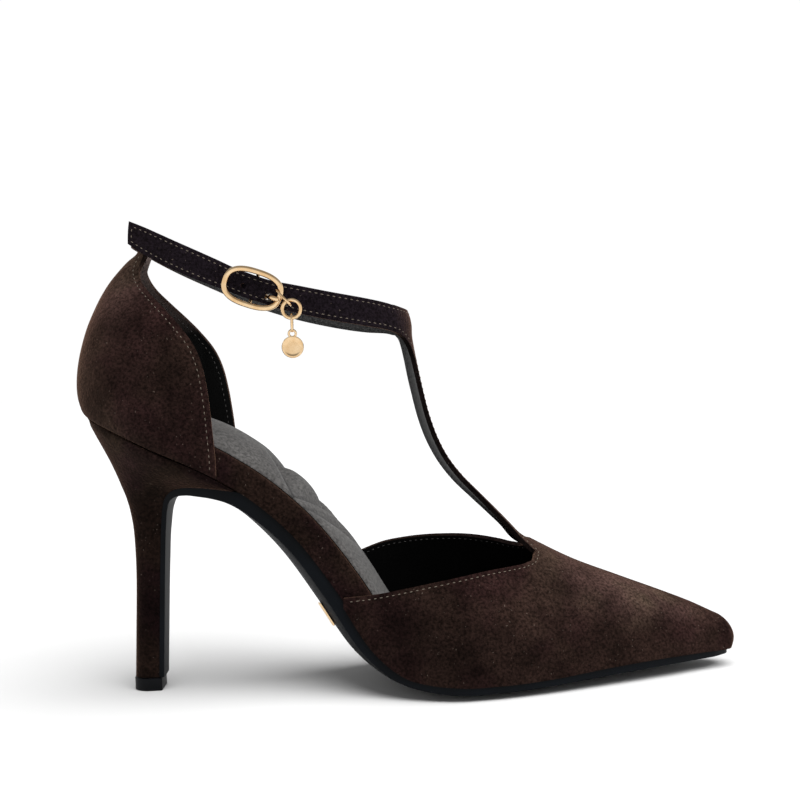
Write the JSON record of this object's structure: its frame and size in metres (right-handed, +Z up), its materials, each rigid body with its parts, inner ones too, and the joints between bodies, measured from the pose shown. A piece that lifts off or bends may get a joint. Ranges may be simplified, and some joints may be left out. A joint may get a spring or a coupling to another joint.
{
  "type": "heeled shoe",
  "caption": "Right heeled shoe in dark suede with a pointed toe, open waist, T-strap, buckled ankle strap with a hanging charm, and a thin high heel on a small tip.",
  "frame": {"origin": "centre of the bounding box in plan, on the floor that the forefoot and the heel tip stand on", "axes": "+X from heel to toe, -Y towards the outer side of the foot, where the buckle is, +Z up"},
  "size_m": [0.2268, 0.0726, 0.1612],
  "materials": {
    "suede": "napped suede",
    "sock": "soft matt padded leather",
    "sole_leather": "smooth black, half gloss",
    "rubber": "matt",
    "gold": "polished pale gold plating"
  },
  "bodies": {
    "shoe": {"vamp": "suede", "counter": "suede", "footbed": "suede", "insole": "sock", "outsole": "sole_leather", "heel": "suede", "top_piece": "rubber", "buckle": "gold", "prong": "gold", "first_link": "gold", "sole_badge": "gold"},
    "charm_ring": {"charm_ring": "gold"},
    "charm": {"charm": "gold"}
  },
  "joints": [
    {"name": "ring_swing", "type": "hinge", "parent": "shoe", "child": "charm_ring", "pos_m": [-0.03636, -0.02876, 0.1304], "axis": [0, 1, 0], "range_deg": [-30, 30]},
    {"name": "charm_swing", "type": "hinge", "parent": "charm_ring", "child": "charm", "pos_m": [-0.03636, -0.02876, 0.12595], "axis": [1, 0, 0], "range_deg": [-60, 45]}
  ]
}
